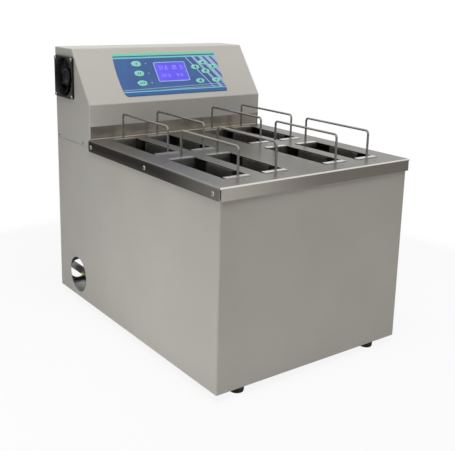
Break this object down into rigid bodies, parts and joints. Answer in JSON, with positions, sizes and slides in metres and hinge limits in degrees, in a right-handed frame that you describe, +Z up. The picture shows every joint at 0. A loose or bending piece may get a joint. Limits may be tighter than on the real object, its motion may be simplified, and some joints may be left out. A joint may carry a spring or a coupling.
{
  "type": "plasma thawer",
  "caption": "Bench-top water-bath plasma thawer: painted cabinet, stainless deck with lift-out wire-handled baskets, sloping keypad hood, side fan and drain valve.",
  "frame": {"origin": "on the bench, under the middle of the whole machine, drain pipe included", "axes": "+X to the right seen from the front, +Y from the front to the back, +Z up"},
  "size_m": [0.4102, 0.5964, 0.51],
  "materials": {
    "shell_paint": "smooth satin powder coat, warm light grey",
    "deck_steel": "brushed stainless sheet",
    "basket_steel": "satin stainless sheet",
    "wire_steel": "drawn stainless wire",
    "tank_steel": "satin stainless sheet",
    "inner_steel": "galvanised sheet",
    "foot_rubber": "matt black rubber",
    "fan_plastic": "black moulded plastic",
    "screw_steel": "bright plated screw heads",
    "overlay_film": "printed membrane film, blue and mint",
    "key_film": "domed film key, mint",
    "lens_plastic": "clear lens, pale pink",
    "display_pane": "clear pane over a violet display",
    "display_board": "metal bezel on a green board",
    "heater_metal": "nickel alloy sheath",
    "probe_steel": "polished steel rod",
    "pump_plastic": "glass-filled plastic",
    "motor_paint": "dark enamel",
    "hose_rubber": "grey silicone hose",
    "valve_brass": "turned brass",
    "lever_plastic": "yellow-green moulding",
    "pipe_plastic": "grey pipe",
    "board_green": "solder-masked board",
    "inlet_plastic": "black moulded plastic",
    "rocker_plastic": "black rocker"
  },
  "bodies": {
    "machine": {"base_pan": "inner_steel", "cabinet_shell": "shell_paint", "control_housing": "shell_paint", "deck_plate": "deck_steel", "display_module": "display_board", "display_window": "display_pane", "drain_elbow": "pipe_plastic", "drain_pipe": "pipe_plastic", "drain_valve_body": "valve_brass", "electronics_tray": "inner_steel", "fan_frame": "fan_plastic", "fan_screws": "screw_steel", "feet": "foot_rubber", "heater_element": "heater_metal", "heater_relay": "inner_steel", "housing_rear_cover": "shell_paint", "keypad_overlay": "overlay_film", "main_board": "board_green", "mains_inlet": "inlet_plastic", "panel_screws": "screw_steel", "power_supply": "inner_steel", "pump_housing": "pump_plastic", "pump_motor": "motor_paint", "rear_panel": "shell_paint", "return_hose": "hose_rubber", "status_lenses": "lens_plastic", "suction_hose": "hose_rubber", "tank_rails": "inner_steel", "temperature_probe": "probe_steel", "water_tank": "tank_steel"},
    "basket_1_body": {"basket_1": "basket_steel", "basket_handle_1": "wire_steel"},
    "basket_2_body": {"basket_2": "basket_steel", "basket_handle_2": "wire_steel"},
    "basket_3_body": {"basket_3": "basket_steel", "basket_handle_3": "wire_steel"},
    "basket_4_body": {"basket_4": "basket_steel", "basket_handle_4": "wire_steel"},
    "basket_5_body": {"basket_5": "basket_steel", "basket_handle_5": "wire_steel"},
    "basket_6_body": {"basket_6": "basket_steel", "basket_handle_6": "wire_steel"},
    "basket_7_body": {"basket_7": "basket_steel", "basket_handle_7": "wire_steel"},
    "basket_8_body": {"basket_8": "basket_steel", "basket_handle_8": "wire_steel"},
    "fan_rotor_body": {"fan_rotor": "fan_plastic"},
    "impeller_body": {"pump_impeller": "pump_plastic"},
    "drain_lever_body": {"drain_lever": "lever_plastic"},
    "rocker_body": {"power_rocker": "rocker_plastic"},
    "mode_key_1_body": {"mode_key_1": "key_film"},
    "mode_key_2_body": {"mode_key_2": "key_film"},
    "mode_key_3_body": {"mode_key_3": "key_film"},
    "up_key_body": {"up_key": "key_film"},
    "down_key_body": {"down_key": "key_film"},
    "left_key_body": {"left_key": "key_film"},
    "right_key_body": {"right_key": "key_film"},
    "back_key_body": {"back_key": "key_film"},
    "enter_key_body": {"enter_key": "key_film"}
  },
  "joints": [
    {"name": "basket_1_lift", "type": "slide", "parent": "machine", "child": "basket_1_body", "axis": [0, 0, 1], "range_m": [0, 0.205]},
    {"name": "basket_2_lift", "type": "slide", "parent": "machine", "child": "basket_2_body", "axis": [0, 0, 1], "range_m": [0, 0.205]},
    {"name": "basket_3_lift", "type": "slide", "parent": "machine", "child": "basket_3_body", "axis": [0, 0, 1], "range_m": [0, 0.205]},
    {"name": "basket_4_lift", "type": "slide", "parent": "machine", "child": "basket_4_body", "axis": [0, 0, 1], "range_m": [0, 0.205]},
    {"name": "basket_5_lift", "type": "slide", "parent": "machine", "child": "basket_5_body", "axis": [0, 0, 1], "range_m": [0, 0.205]},
    {"name": "basket_6_lift", "type": "slide", "parent": "machine", "child": "basket_6_body", "axis": [0, 0, 1], "range_m": [0, 0.205]},
    {"name": "basket_7_lift", "type": "slide", "parent": "machine", "child": "basket_7_body", "axis": [0, 0, 1], "range_m": [0, 0.205]},
    {"name": "basket_8_lift", "type": "slide", "parent": "machine", "child": "basket_8_body", "axis": [0, 0, 1], "range_m": [0, 0.205]},
    {"name": "fan_spin", "type": "hinge", "parent": "machine", "child": "fan_rotor_body", "pos_m": [-0.19, 0.22775, 0.454], "axis": [1, 0, 0], "continuous": true},
    {"name": "pump_spin", "type": "hinge", "parent": "machine", "child": "impeller_body", "pos_m": [0.08, -0.02, 0.06], "axis": [0, 1, 0], "continuous": true},
    {"name": "drain_lever_turn", "type": "hinge", "parent": "machine", "child": "drain_lever_body", "pos_m": [-0.162, 0.18925, 0.058], "axis": [0, 0, 1], "range_deg": [0, 90]},
    {"name": "power_rocker_tip", "type": "hinge", "parent": "machine", "child": "rocker_body", "pos_m": [0.15, 0.27025, 0.453], "axis": [0, 0, 1], "range_deg": [-16, 0]},
    {"name": "mode_key_1_press", "type": "slide", "parent": "machine", "child": "mode_key_1_body", "axis": [0, 0.8087, -0.5882], "range_m": [0, 0.0004], "stiffness_N_per_m": 500},
    {"name": "mode_key_2_press", "type": "slide", "parent": "machine", "child": "mode_key_2_body", "axis": [0, 0.8087, -0.5882], "range_m": [0, 0.0004], "stiffness_N_per_m": 500},
    {"name": "mode_key_3_press", "type": "slide", "parent": "machine", "child": "mode_key_3_body", "axis": [0, 0.8087, -0.5882], "range_m": [0, 0.0004], "stiffness_N_per_m": 500},
    {"name": "up_key_press", "type": "slide", "parent": "machine", "child": "up_key_body", "axis": [0, 0.8087, -0.5882], "range_m": [0, 0.0004], "stiffness_N_per_m": 500},
    {"name": "down_key_press", "type": "slide", "parent": "machine", "child": "down_key_body", "axis": [0, 0.8087, -0.5882], "range_m": [0, 0.0004], "stiffness_N_per_m": 500},
    {"name": "left_key_press", "type": "slide", "parent": "machine", "child": "left_key_body", "axis": [0, 0.8087, -0.5882], "range_m": [0, 0.0004], "stiffness_N_per_m": 500},
    {"name": "right_key_press", "type": "slide", "parent": "machine", "child": "right_key_body", "axis": [0, 0.8087, -0.5882], "range_m": [0, 0.0004], "stiffness_N_per_m": 500},
    {"name": "back_key_press", "type": "slide", "parent": "machine", "child": "back_key_body", "axis": [0, 0.8087, -0.5882], "range_m": [0, 0.0004], "stiffness_N_per_m": 500},
    {"name": "enter_key_press", "type": "slide", "parent": "machine", "child": "enter_key_body", "axis": [0, 0.8087, -0.5882], "range_m": [0, 0.0004], "stiffness_N_per_m": 500}
  ]
}
